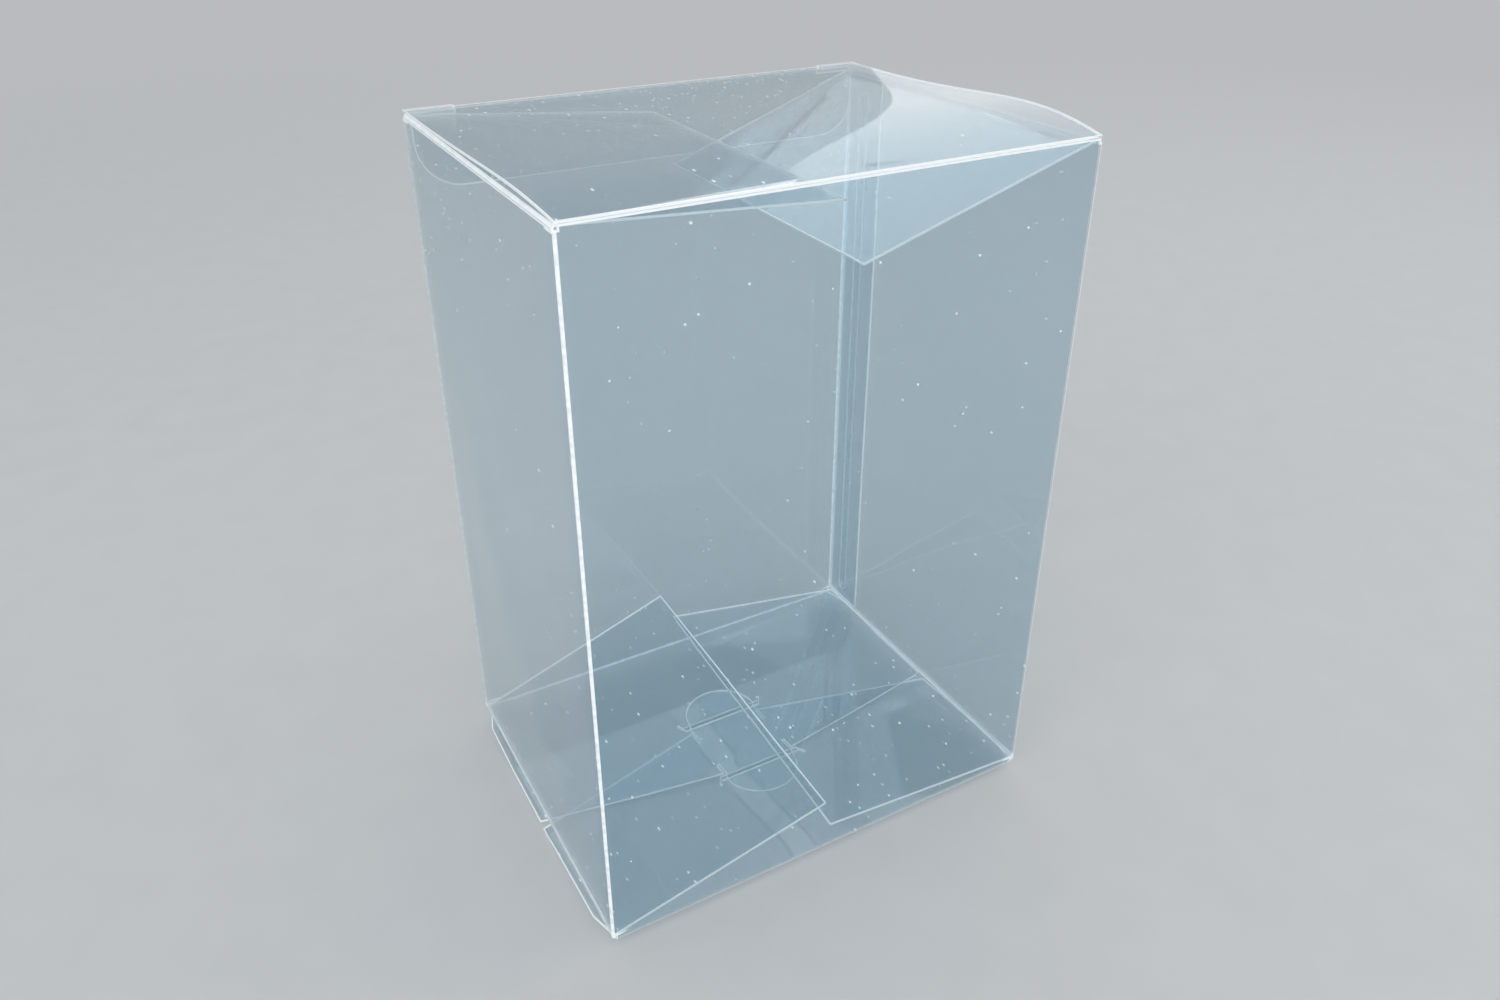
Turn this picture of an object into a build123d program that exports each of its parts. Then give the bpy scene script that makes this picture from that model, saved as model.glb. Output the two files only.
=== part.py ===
from build123d import *
import math
import os

# Clear folded carton that protects one boxed figure.
#
# One sheet of film is creased into four walls, a glue flap, two dust flaps, two side flaps and two
# bottom panels that lock into each other with half-moon tongues. The lid with its tuck flap turns on
# the front top crease. Millimetres, +Z up, the front wall faces -Y, and the origin is the middle of
# the footprint on the surface that the box stands on.

# The folded box, outside the film
box_width = 116.0
box_depth = 90.0
wall_height = 165.0

# The film, its folds and its clearances
film = 0.4
fold_radius = 0.6
layer_gap = 0.2
fold_length = 1.0
corner_relief = 1.0
crease_height = 2.6

# The glued seam at the back right edge
glue_flap_width = 15.0
glue_thickness = 0.2
glue_flap_short = 1.8
bead_width = 4.0
bead_from_corner = 6.7
bead_foot = 4.0
bead_head = 6.0

# Dust flaps, hinged on the side walls' top edges
dust_length = 57.0
dust_drop_left = 4.6
dust_drop_right = 18.0
dust_front_edge = 0.6
dust_back_edge = 1.8
dust_taper = 2.4
shoulder_length = 11.0
shoulder_step = 0.8

# Side flaps, hinged on the side walls' bottom edges and left standing up inside
side_flap_length = 58.0
side_flap_inset = 0.8
left_rise_front = 12.6
left_rise_back = 18.8
right_rise_front = 4.6
right_rise_back = 9.8

# Bottom panels, hinged on the front and back walls and locked together across the floor's middle
panel_overhang = 1.1
panel_taper = 9.0
front_side_short = 3.5
front_neck_past = 9.0
back_side_past = 1.5
back_neck_past = 10.0
tongue_radius = 10.1
tongue_offset = -0.6
slit_from_middle = 10.8
slit_width = 1.3
slit_margin = 1.4
hook_length = 2.0
hook_spread = 1.2
cut_width = 0.4
neck_cut = 4.5
jog_angle = 60.0
front_landing = 6.0
back_landing = 20.0

# Lid and tuck flap
lid_inset = 0.3
lid_gap = 0.2
hinge_gap = 0.1
bow_left = 0.9
bow_right = 2.6
bow_front_handle = 25.0
bow_back_handle = 46.0
lid_flat = 8.0
tuck_inset = 1.4
tuck_gap = 0.3
tuck_length = 17.0
tuck_lean = 6.5
tuck_corner = 10.0
lock_slit = 11.0
lock_slit_height = 1.2
lock_tab = 0.7

half_width = box_width / 2
half_depth = box_depth / 2
half_film = film / 2
layer_step = film + layer_gap
top_level = crease_height + wall_height
side_crease = crease_height + layer_step
axis_height = top_level + lid_gap + half_film
wall_line_x = half_width - half_film
wall_line_y = half_depth - half_film
flat_half = half_width - fold_radius - half_film
glue_line_x = wall_line_x - film - glue_thickness
tuck_line_y = half_depth - film - tuck_gap - half_film
slit_depth = half_depth - slit_from_middle
tongue_start = half_depth + slit_from_middle
fold_top = side_crease + fold_radius + half_film + fold_length
reach = 2 * (box_width + wall_height)


def across(y):
    """Upright plane at depth y, seen from the front: sketch X is X and sketch Y is Z."""
    return Plane(origin=(0, y, 0), x_dir=(1, 0, 0), z_dir=(0, -1, 0))


def along(x):
    """Upright plane at width x, seen from the right: sketch X is Y and sketch Y is Z."""
    return Plane(origin=(x, 0, 0), x_dir=(0, 1, 0), z_dir=(1, 0, 0))


def strip(points, radius):
    """The film's section along a bent centre line."""
    return trace(FilletPolyline(*points, radius=radius), film)


def slab(x0, x1, y0, y1, z0, z1):
    """Block between two corners, for trimming."""
    block = Box(x1 - x0, y1 - y0, z1 - z0)
    return Pos((x0 + x1) / 2, (y0 + y1) / 2, (z0 + z1) / 2) * block


def walls():
    """Four walls and the glue flap, wound from one strip with rounded upright creases."""
    points = [
        (wall_line_x, half_depth),
        (wall_line_x, -wall_line_y),
        (-wall_line_x, -wall_line_y),
        (-wall_line_x, wall_line_y),
        (glue_line_x, wall_line_y),
        (glue_line_x, half_depth - glue_flap_width),
    ]
    low = crease_height + fold_radius + half_film
    high = axis_height - half_film - hinge_gap
    band = Pos(0, 0, low) * extrude(strip(points, fold_radius), high - low)
    side_top = top_level - fold_radius - half_film - fold_length
    back_top = top_level - lid_gap
    for side in (-1, 1):
        edge = sorted((side * flat_half, side * reach))
        band -= slab(*edge, -reach, reach, -reach, fold_top)
        band -= slab(*edge, -reach, reach, side_top, reach)
    band -= slab(-reach, reach, 0, reach, back_top, reach)
    inner = half_width - 2 * film - glue_thickness - corner_relief
    outer = half_width - film - glue_thickness / 2
    flap_end = half_depth - fold_radius - half_film
    band -= slab(inner, outer, 0, flap_end, -reach, fold_top)
    band -= slab(inner, outer, 0, flap_end, top_level - glue_flap_short, reach)
    return band


def side_section(side, level, way, angle, length, y):
    """Section of a flap hinged on a side wall; way is +1 for a bottom fold and -1 for a top fold."""
    wall_x = side * wall_line_x
    fold_z = level + way * half_film
    start = (wall_x, level + way * (fold_radius + half_film + fold_length))
    run = length * math.cos(math.radians(angle))
    rise = length * math.sin(math.radians(angle))
    end = (wall_x - side * run, fold_z + way * rise)
    return across(y) * strip([start, (wall_x, fold_z), end], fold_radius)


def side_flap(side, rise_front, rise_back):
    """Bottom side flap: it stands up inside the box and is a little twisted."""
    y_end = half_depth - side_flap_inset
    front = side_section(side, side_crease, 1, rise_front, side_flap_length, -y_end)
    back = side_section(side, side_crease, 1, rise_back, side_flap_length, y_end)
    return loft([front, back], ruled=True)


def dust_flap(side, drop):
    """Top dust flap, tapered towards its free end, with a shoulder beside the tuck flap."""
    y_front = -half_depth + dust_front_edge
    y_back = half_depth - dust_back_edge
    section = side_section(side, top_level, -1, drop, dust_length, y_front)
    flap = extrude(section, y_back - y_front, dir=(0, 1, 0))
    free_x = half_width - dust_length - film
    shoulder_x = half_width - shoulder_length
    outline = Polyline(
        (half_width, y_front),
        (flat_half, y_front),
        (free_x, y_front + dust_taper),
        (free_x, y_back - shoulder_step - dust_taper),
        (shoulder_x - shoulder_step, y_back - shoulder_step),
        (shoulder_x, y_back),
        (half_width, y_back),
        close=True,
    )
    prism = extrude(make_face(outline), reach)
    if side < 0:
        prism = mirror(prism, about=Plane.YZ)
    return flap & prism


def panel_outline(side_depth, neck_depth, offset):
    """Plan of a bottom panel, hinged on y = 0, with its half-moon tongue."""
    hinge_half = half_width - corner_relief
    wide_half = half_width + panel_overhang
    left = offset - tongue_radius
    right = offset + tongue_radius
    edge = Polyline(
        (left, tongue_start),
        (left, neck_depth),
        (-wide_half, side_depth),
        (-wide_half, panel_taper),
        (-hinge_half, 0),
        (hinge_half, 0),
        (wide_half, panel_taper),
        (wide_half, side_depth),
        (right, neck_depth),
        (right, tongue_start),
    )
    tip = (offset, tongue_start + tongue_radius)
    tongue = ThreePointArc((right, tongue_start), tip, (left, tongue_start))
    plan = make_face(edge.edges() + tongue.edges())
    for x in (left, right):
        cut = Rectangle(cut_width, neck_cut, align=(Align.CENTER, Align.MAX))
        plan -= Pos(x, neck_depth + cut_width) * cut
    return plan


def lock_slit_plan(offset):
    """Slit that takes the other panel's tongue, with a hooked cut at each end."""
    half = tongue_radius + slit_margin
    path = FilletPolyline(
        (offset - half - hook_spread, slit_depth - hook_length),
        (offset - half, slit_depth),
        (offset + half, slit_depth),
        (offset + half + hook_spread, slit_depth - hook_length),
        radius=fold_radius,
    )
    return trace(path, cut_width) + Pos(offset, slit_depth) * Rectangle(2 * half, slit_width)


def bottom_panel(profile, side_depth, neck_depth, offset):
    """Bottom panel folded along a profile of (depth from the wall, height) points."""
    section = along(-reach / 2) * strip(profile, fold_radius)
    sheet = extrude(section, reach, dir=(1, 0, 0))
    plan = panel_outline(side_depth, neck_depth, offset) - lock_slit_plan(offset)
    return sheet & extrude(plan, fold_top)


def front_panel():
    """Outer bottom panel; its tongue rises through the back panel's slit and lies on it."""
    return Pos(0, -half_depth, 0) * bottom_panel(
        front_profile(), half_depth - front_side_short, half_depth + front_neck_past, tongue_offset
    )


def back_panel():
    """Inner bottom panel; its tongue dips through the front panel's slit and lies under it."""
    return Rot(0, 0, 180) * Pos(0, -half_depth, 0) * bottom_panel(
        back_profile(), half_depth + back_side_past, half_depth + back_neck_past, -tongue_offset
    )


def height_on(profile, depth):
    """Height of a panel's centre line at a depth from its wall."""
    for (d0, z0), (d1, z1) in zip(profile, profile[1:]):
        if d0 < d1 and d0 <= depth <= d1:
            return z0 + (z1 - z0) * (depth - d0) / (d1 - d0)
    return profile[-1][1]


def front_slope():
    """Front panel from its crease down to the middle of the floor, where the box rests on it."""
    return [
        (half_film, fold_top),
        (half_film, crease_height + half_film),
        (slit_depth - fold_radius, half_film + layer_step),
        (half_depth - front_landing, half_film),
    ]


def back_slope():
    """Back panel from its crease down to where it lies on the front panel."""
    return [
        (half_film, fold_top),
        (half_film, crease_height + half_film),
        (half_depth - back_landing, half_film + layer_step),
        (half_depth + front_landing, half_film + layer_step),
    ]


def front_profile():
    """Front panel with its tongue, stepped up through the back panel's slit."""
    back = back_slope()
    over = height_on(back, slit_depth) + layer_step
    run = (over - half_film) / math.tan(math.radians(jog_angle))
    tip = tongue_start + tongue_radius + fold_radius
    over_tip = height_on(back, box_depth - tip) + layer_step
    return front_slope() + [
        (tongue_start - run / 2, half_film),
        (tongue_start + run / 2, over),
        (tip, over_tip),
    ]


def back_profile():
    """Back panel with its tongue, stepped down through the front panel's slit."""
    front = front_slope()
    over = height_on(front, slit_depth) + layer_step
    run = (over - half_film) / math.tan(math.radians(jog_angle))
    tip = tongue_start + tongue_radius + fold_radius
    under_tip = height_on(front, box_depth - tip) - layer_step
    return back_slope() + [
        (tongue_start - run / 2, over),
        (tongue_start + run / 2, half_film),
        (tip, under_tip),
    ]


def carton():
    """The folded sheet, without the lid."""
    body = walls()
    body += front_panel()
    body += back_panel()
    body += side_flap(-1, left_rise_front, left_rise_back)
    body += side_flap(1, right_rise_front, right_rise_back)
    body += dust_flap(-1, dust_drop_left)
    body += dust_flap(1, dust_drop_right)
    return body


def seam_glue():
    """Flat bead of clear glue between the glue flap and the right wall, round at both ends."""
    low = side_crease + bead_foot
    high = top_level - bead_head
    bead = SlotOverall(high - low, bead_width, rotation=90)
    middle = Vector(half_width - film, half_depth - bead_from_corner, (low + high) / 2)
    return extrude(Plane(middle, x_dir=(0, 1, 0), z_dir=(-1, 0, 0)) * bead, glue_thickness)


def bow_section(bow, x):
    """Section of the lid panel from its rounded hinge edge to where it lies flat, bowed in between.

    The curve's handle at the hinge is 9/4 of the bow high, so that its crest is as high as the bow.
    """
    hinge = Vector(-wall_line_y, axis_height)
    rise = Vector(bow_front_handle, bow * 9 / 4)
    flat_start = Vector(tuck_line_y - lid_flat, axis_height)
    fall = Vector(bow_back_handle, 0)
    along_film = rise.normalized() * half_film
    off_hinge = Vector(-along_film.Y, along_film.X)
    off_flat = Vector(0, half_film)
    line = [hinge, hinge + rise, flat_start - fall, flat_start]
    offsets = [off_hinge, off_hinge, off_flat, off_flat]
    outer = [point + offset for point, offset in zip(line, offsets)]
    inner = [point - offset for point, offset in zip(line, offsets)]
    edges = [
        ThreePointArc(inner[0], hinge - along_film, outer[0]),
        Bezier(*outer),
        Line(outer[3], inner[3]),
        Bezier(*inner),
    ]
    return along(x) * make_face(edges)


def tuck_section(x):
    """Section of the lid panel's flat end with the tuck flap folded down from it."""
    lean = math.radians(tuck_lean)
    flat_start = (tuck_line_y - lid_flat, axis_height)
    crease = (tuck_line_y, axis_height)
    foot = (tuck_line_y - tuck_length * math.sin(lean), axis_height - tuck_length * math.cos(lean))
    return along(x) * strip([flat_start, crease, foot], fold_radius)


def lid():
    """Lid panel and tuck flap, with a lock slit and a tab at each end of the tuck crease."""
    lid_half = half_width - lid_inset
    tuck_half = half_width - tuck_inset
    slit_x = lid_half - lock_slit
    slit_y = tuck_line_y - fold_radius - half_film
    tab_end = tuck_line_y + half_film + lock_tab
    film_low = axis_height - half_film
    film_high = axis_height + half_film
    tuck_low = axis_height - tuck_length
    body = loft([bow_section(bow_left, -lid_half), bow_section(bow_right, lid_half)], ruled=True)
    body += extrude(tuck_section(-lid_half), 2 * lid_half, dir=(1, 0, 0))
    for side in (-1, 1):
        lock = sorted((side * slit_x, side * lid_half))
        trim = sorted((side * tuck_half, side * reach))
        body -= slab(*lock, slit_y, reach, film_low - lock_slit_height, reach)
        body -= slab(*trim, 0, reach, -reach, film_low)
        body += slab(*lock, slit_y, tab_end, film_low, film_high)
        corner_x = side * (tuck_half - tuck_corner)
        corner = slab(*sorted((corner_x, side * reach)), 0, reach, -reach, tuck_low + tuck_corner)
        rounding = Cylinder(tuck_corner, box_depth, rotation=(90, 0, 0))
        body -= corner - Pos(corner_x, half_depth, tuck_low + tuck_corner) * rounding
    return body


parts = {"carton": carton(), "seam_glue": seam_glue(), "lid": lid()}

if __name__ == "__main__":
    os.makedirs("parts", exist_ok=True)
    for name, shape in parts.items():
        export_step(shape, f"parts/{name}.step")
        print(name, "solids", len(shape.solids()), "volume", round(shape.volume, 1))
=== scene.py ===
# %% [markdown]
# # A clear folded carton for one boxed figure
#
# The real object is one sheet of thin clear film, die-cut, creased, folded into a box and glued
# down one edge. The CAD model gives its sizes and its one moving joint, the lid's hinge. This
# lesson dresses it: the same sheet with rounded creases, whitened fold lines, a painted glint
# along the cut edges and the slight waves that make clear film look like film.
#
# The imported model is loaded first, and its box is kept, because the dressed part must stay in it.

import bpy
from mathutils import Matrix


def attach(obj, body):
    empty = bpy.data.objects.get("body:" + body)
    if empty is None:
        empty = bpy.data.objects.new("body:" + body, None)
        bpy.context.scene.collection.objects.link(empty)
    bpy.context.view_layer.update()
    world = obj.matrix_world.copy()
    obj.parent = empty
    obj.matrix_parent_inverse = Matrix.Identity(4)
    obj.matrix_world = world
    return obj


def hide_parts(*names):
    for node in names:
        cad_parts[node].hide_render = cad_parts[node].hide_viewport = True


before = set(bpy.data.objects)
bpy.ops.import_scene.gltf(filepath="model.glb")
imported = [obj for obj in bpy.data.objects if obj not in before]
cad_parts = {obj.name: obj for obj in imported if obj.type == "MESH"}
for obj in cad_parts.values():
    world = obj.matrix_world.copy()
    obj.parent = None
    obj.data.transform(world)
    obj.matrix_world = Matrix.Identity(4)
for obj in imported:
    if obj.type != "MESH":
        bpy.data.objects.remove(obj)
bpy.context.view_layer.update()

# %% Python modules and the unit
import math

import bpy
import numpy as np
from mathutils import Matrix, Vector
from mathutils.geometry import delaunay_2d_cdt

MM = 0.001
scene = bpy.context.scene

# %% [markdown]
# ## The camera
#
# The photograph looks down on the carton from the front left. A camera is a lens, a place and a
# direction. The direction is built from three turns, because a heading, a downward pitch and a
# small roll are easier to read than a matrix. The lens shift only places the frame.

# %% Camera at the photograph's angle
camera_place = (-0.1172, -0.2132, 0.2236)
camera_heading = math.radians(29.84)
camera_pitch = math.radians(-28.89)
camera_roll = math.radians(0.24)

lens = bpy.data.cameras.new("camera")
lens.lens = 27.92
lens.sensor_width = 36.0
lens.shift_x = -0.00633
lens.shift_y = -0.0287
lens.clip_start = 0.01
camera = bpy.data.objects.new("camera", lens)
scene.collection.objects.link(camera)
turned = Matrix.Rotation(-camera_heading, 4, "Z") @ Matrix.Rotation(math.pi / 2 + camera_pitch, 4, "X")
camera.matrix_world = Matrix.Translation(camera_place) @ turned @ Matrix.Rotation(camera_roll, 4, "Z")
scene.camera = camera
scene.view_settings.view_transform = "Standard"
print("camera looks along", [round(x, 3) for x in -camera.matrix_world.col[2].to_3d()])

# %% [markdown]
# ## Sizes
#
# A die maker's drawing gives the carton in millimetres: walls, flaps, creases and cuts. The CAD
# model holds the same numbers. They are repeated here because the dressed sheet is folded again
# from them, and the seats of one flap on another leave only a fraction of a millimetre.

# %% Sizes of the carton in millimetres
HALF_WIDTH = 58.0
HALF_DEPTH = 45.0
FILM = 0.4
HALF_FILM = FILM / 2
FOLD_RADIUS = 0.6
LAYER_STEP = 0.6
CREASE_HEIGHT = 2.6
SIDE_CREASE = CREASE_HEIGHT + LAYER_STEP
TOP_LEVEL = 167.6
LID_LEVEL = 168.0
WALL_LINE_X = HALF_WIDTH - HALF_FILM
WALL_LINE_Y = HALF_DEPTH - HALF_FILM
FLAT_HALF_X = WALL_LINE_X - FOLD_RADIUS
FLAT_HALF_Y = WALL_LINE_Y - FOLD_RADIUS

# %% [markdown]
# ## Cutting film flat
#
# Each panel starts as a flat outline with its slits, as it comes off the die. Blender can fill an
# outline in several ways. A Delaunay triangulation is used here, because it takes the outline, the
# crease lines and a loose grid of inner points at once, and so gives a mesh that can bend.
#
# Two things are prepared for the finish. A ring of points just inside each cut keeps the painted
# glint along the cut edge narrow, and a few lines along each crease keep its whitened band narrow.

# %% Helpers for outlines
# Width of the painted glint: a white band just inside each cut, where real cut film catches light.
EDGE_GLOW = 0.4
CREASE_BAND = 0.45
GRID = 4.0


def divided(points, step=GRID):
    """The closed outline with its long sides divided into short ones."""
    ring = []
    for start, end in zip(points, points[1:] + points[:1]):
        start, end = np.array(start, float), np.array(end, float)
        count = max(1, round(float(np.linalg.norm(end - start)) / step))
        ring += [start + (end - start) * k / count for k in range(count)]
    return np.array(ring)


def moved_in(ring, distance):
    """The outline's points, moved to its left by a distance, with mitred corners."""
    ahead = np.roll(ring, -1, axis=0) - ring
    ahead /= np.linalg.norm(ahead, axis=1)[:, None]
    left = np.stack([-ahead[:, 1], ahead[:, 0]], axis=1)
    before = np.roll(left, 1, axis=0)
    mitre = left + before
    mitre /= np.maximum(np.sum(mitre * mitre, axis=1), 0.5)[:, None] / 2
    return ring + mitre * distance


def signed_area(ring):
    """Twice the outline's area, above zero when it runs counterclockwise."""
    following = np.roll(ring, -1, axis=0)
    return float(np.sum(ring[:, 0] * following[:, 1] - following[:, 0] * ring[:, 1]))


def counterclockwise(ring):
    """The outline's points in counterclockwise order."""
    return ring if signed_area(ring) > 0 else ring[::-1]


def inside(points, ring):
    """Which of the points lie inside the outline."""
    found = np.zeros(len(points), bool)
    for (x0, y0), (x1, y1) in zip(ring, np.roll(ring, -1, axis=0)):
        if y0 == y1:
            continue
        crosses = (y0 > points[:, 1]) != (y1 > points[:, 1])
        found ^= crosses & (points[:, 0] < x0 + (points[:, 1] - y0) * (x1 - x0) / (y1 - y0))
    return found


def distance_to(points, start, end):
    """Distance from each point to the line between two ends."""
    start, run = np.array(start, float), np.array(end, float) - np.array(start, float)
    along = np.clip(((points - start) @ run) / (run @ run), 0, 1)
    return np.linalg.norm(points - start - along[:, None] * run, axis=1)


def beside(start, end, offset):
    """The line between two ends, moved sideways by an offset."""
    run = np.array(end, float) - np.array(start, float)
    left = np.array([-run[1], run[0]]) / np.linalg.norm(run)
    return tuple(np.array(start) + left * offset), tuple(np.array(end) + left * offset)


print("helpers for outlines are ready")

# %% Helpers for a panel's inner lines and points
FOLD_LINES = (-0.3, -0.15, 0.15, 0.3)
BAND_LINES = (-CREASE_BAND, CREASE_BAND) + FOLD_LINES


def guide_lines(creases, bends):
    """Lines that the mesh follows: along and beside each crease, and closely beside each bend."""
    lines = []
    for start, end, strength in creases:
        lines.append((start, end))
        lines += [beside(start, end, offset) for offset in BAND_LINES]
    for start, end in bends:
        lines += [beside(start, end, offset) for offset in (0,) + FOLD_LINES]
    return lines


def loose_grid(ring, loops, lines, step):
    """Inner points a step apart, without those close to a cut or a line."""
    low, high = ring.min(axis=0), ring.max(axis=0)
    rows = [np.arange(low[k] + step / 2, high[k], step) for k in (0, 1)]
    grid = np.stack(np.meshgrid(*rows), axis=-1).reshape(-1, 2)
    cuts = [side for loop in loops for side in zip(loop, np.roll(loop, -1, axis=0))]
    near = np.full(len(grid), np.inf)
    for start, end in cuts + lines:
        near = np.minimum(near, distance_to(grid, start, end))
    return grid[(near > step / 3) & inside(grid, ring)]


def whiteness(flat, creases):
    """How white each point is: the crease's strength on it, and nothing past its band."""
    white = np.zeros(len(flat))
    for start, end, strength in creases:
        nearness = np.clip(1 - distance_to(flat, start, end) / CREASE_BAND, 0, 1)
        white = np.maximum(white, strength * nearness)
    return white


print("each crease gets", 1 + len(BAND_LINES), "lines of points and each bend", 1 + len(FOLD_LINES))

# %% Helpers that cut one panel
SAME_POINT = 1e-5


def on_film(flat, triangles, ring, slits):
    """The triangles inside the outline and outside its slits, all face up, and their points."""
    middles = flat[triangles].mean(axis=1)
    keep = inside(middles, ring)
    for slit in slits:
        keep &= ~inside(middles, slit)
    used, triangles = np.unique(triangles[keep], return_inverse=True)
    flat, triangles = flat[used], triangles.reshape(-1, 3)
    a, b, c = (flat[triangles[:, k]] for k in range(3))
    turned_over = np.cross(b - a, c - a) < 0
    triangles[turned_over] = triangles[turned_over][:, ::-1]
    return flat, triangles


def cut_panel(outline, holes=(), creases=(), bends=(), step=GRID, glow=EDGE_GLOW):
    """Cuts a flat panel: its points, its triangles and how white each point is from creasing."""
    ring = counterclockwise(divided(outline, step))
    slits = [counterclockwise(divided(hole, step))[::-1] for hole in holes]
    loops = [loop for cut in [ring] + slits for loop in (cut, moved_in(cut, glow))]
    points, edges = [], []
    for loop in loops:
        first = len(points)
        points += [tuple(p) for p in loop]
        edges += [(first + k, first + (k + 1) % len(loop)) for k in range(len(loop))]
    lines = guide_lines(creases, bends)
    for start, end in lines:
        edges.append((len(points), len(points) + 1))
        points += [start, end]
    points += [tuple(p) for p in loose_grid(ring, loops, lines, step)]
    found = delaunay_2d_cdt([Vector(p) for p in points], edges, [], 0, SAME_POINT)
    flat = np.array([tuple(v) for v in found[0]])
    flat, triangles = on_film(flat, np.array(found[2]), ring, slits)
    return flat, triangles, whiteness(flat, creases)


square = cut_panel([(0, 0), (40, 0), (40, 20), (0, 20)], creases=[((-1, 10), (41, 10), 1.0)])
print("a 40 x 20 mm trial panel has", len(square[0]), "points and", len(square[1]), "triangles")

# %% [markdown]
# ## Folding
#
# A crease in film is a tight bend, not a sharp corner. A folded panel's section is a line with a
# small arc at each crease, and a point of the flat panel goes as far along that line as it lay from
# the panel's start. A look-up table of the line is simple and exact enough at this scale.

# %% Helper for a bent section
ARC_STEPS = 24


def bent_line(points, radius=FOLD_RADIUS):
    """Section through points with rounded creases: distances, places, and the creases' distances."""
    places, creases = [np.array(points[0], float)], []
    for before, corner, after in zip(points, points[1:], points[2:]):
        before, corner, after = (np.array(p, float) for p in (before, corner, after))
        come = (corner - before) / np.linalg.norm(corner - before)
        go = (after - corner) / np.linalg.norm(after - corner)
        turn = math.atan2(come[0] * go[1] - come[1] * go[0], come @ go)
        start = corner - come * radius * math.tan(abs(turn) / 2)
        side = math.copysign(1, turn)
        centre = start + radius * side * np.array([-come[1], come[0]])
        creases.append(len(places) + ARC_STEPS // 2)
        for k in range(ARC_STEPS + 1):
            cos, sin = math.cos(turn * k / ARC_STEPS), math.sin(turn * k / ARC_STEPS)
            places.append(centre + np.array([[cos, -sin], [sin, cos]]) @ (start - centre))
    places.append(np.array(points[-1], float))
    places = np.array(places)
    steps = np.linalg.norm(np.diff(places, axis=0), axis=1)
    distances = np.concatenate([[0], np.cumsum(steps)])
    return distances, places, [float(distances[k]) for k in creases]


def on_line(line, distance):
    """Places on a bent section at the given distances from its start."""
    distances, places, _ = line
    return np.stack([np.interp(distance, distances, places[:, k]) for k in (0, 1)], axis=1)


trial = bent_line([(0, 10), (0, 0), (10, 0)])
print("a right-angle fold of 20 mm is", round(trial[0][-1], 2), "mm long through its arc")

# %% [markdown]
# ## From folded panels to film
#
# The folded panels are joined where they share a line of points, which makes one sheet without
# thickness. Blender's Solidify modifier could thicken it, but a short function keeps exact control:
# it moves every point half a film to each side along the sheet's normal and closes the free
# borders with a rim. The rim is where die-cut film catches light, so each point also gets a number
# for the cut edge, where the finish paints a white glint, next to the one for the crease.

# %% Helpers that fold, join and thicken
NUDGE = 0.01
SHARED_WITHIN = 0.02


def fold(panel, shape):
    """A cut panel with its places and normals after folding by a shape function."""
    flat, triangles, white = panel
    across_step, along_step = np.array([NUDGE, 0]), np.array([0, NUDGE])
    across = shape(flat + across_step) - shape(flat - across_step)
    along = shape(flat + along_step) - shape(flat - along_step)
    normals = np.cross(across, along)
    normals /= np.linalg.norm(normals, axis=1)[:, None]
    return shape(flat), normals, triangles, white


def joined(panels):
    """Folded panels as one sheet, with the points on shared lines made one."""
    places = np.concatenate([p[0] for p in panels])
    normals = np.concatenate([p[1] for p in panels])
    white = np.concatenate([p[3] for p in panels])
    first = np.cumsum([0] + [len(p[0]) for p in panels[:-1]])
    triangles = np.concatenate([p[2] + start for p, start in zip(panels, first)])
    keys = np.round(places / SHARED_WITHIN).astype(int)
    _, index, inverse = np.unique(keys, axis=0, return_index=True, return_inverse=True)
    inverse = inverse.ravel()
    total = np.zeros((len(index), 3))
    np.add.at(total, inverse, normals)
    total /= np.linalg.norm(total, axis=1)[:, None]
    whitest = np.zeros(len(index))
    np.maximum.at(whitest, inverse, white)
    triangles = inverse[triangles]
    solid = [len(set(t)) == 3 for t in triangles.tolist()]
    return places[index], total, triangles[solid], whitest


def film_piece(name, sheet, body, worn_at, thickness=FILM):
    """Closed film of a given thickness, as an object that rides on a body; worn_at gives its wear."""
    places, normals, triangles, white = sheet
    count = len(places)
    half = thickness / 2
    outer, inner = places + normals * half, places - normals * half
    sides = np.concatenate([triangles[:, (0, 1)], triangles[:, (1, 2)], triangles[:, (2, 0)]])
    keys = np.sort(sides, axis=1)
    _, inverse, uses = np.unique(keys, axis=0, return_inverse=True, return_counts=True)
    border = sides[uses[inverse.ravel()] == 1]
    faces = triangles.tolist()
    faces += (triangles[:, ::-1] + count).tolist()
    faces += [(b, a, a + count, b + count) for a, b in border.tolist()]
    mesh = bpy.data.meshes.new(name)
    mesh.from_pydata((np.concatenate([outer, inner]) * MM).tolist(), [], faces)
    mesh.polygons.foreach_set("use_smooth", [True] * len(faces))
    # Points on a cut get 1; the finish paints a white glint on them.
    cut = np.zeros(count)
    cut[np.unique(border)] = 1
    for label, values in (("crease", white), ("cut_edge", cut), ("wear", worn_at(places))):
        layer = mesh.attributes.new(label, "FLOAT", "POINT")
        layer.data.foreach_set("value", np.concatenate([values, values]))
    rim = {tuple(sorted(pair)) for pair in border.tolist()}
    rim |= {(a + count, b + count) for a, b in rim}
    sharp = mesh.attributes.new("sharp_edge", "BOOLEAN", "EDGE")
    sharp.data.foreach_set("value", [tuple(sorted(e.vertices)) in rim for e in mesh.edges])
    mesh.validate()
    piece = bpy.data.objects.new(name, mesh)
    scene.collection.objects.link(piece)
    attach(piece, body)
    print(name, len(mesh.vertices), "points", len(faces), "faces", len(border), "border edges")
    return piece


print("folding helpers are ready")

# %% [markdown]
# ## The walls
#
# The four walls and the glue flap are one band of film wound round the box. The band is cut flat,
# as wide as the way round the box, and then wound along a rectangle with rounded corners.
#
# Thin film is never quite flat. A few long waves, which die out at every crease, bend the
# reflections without changing the outline. The front and back walls may only lean in, because the
# carton may not grow, and the right wall's waves also move the glue flap behind it.

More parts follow.
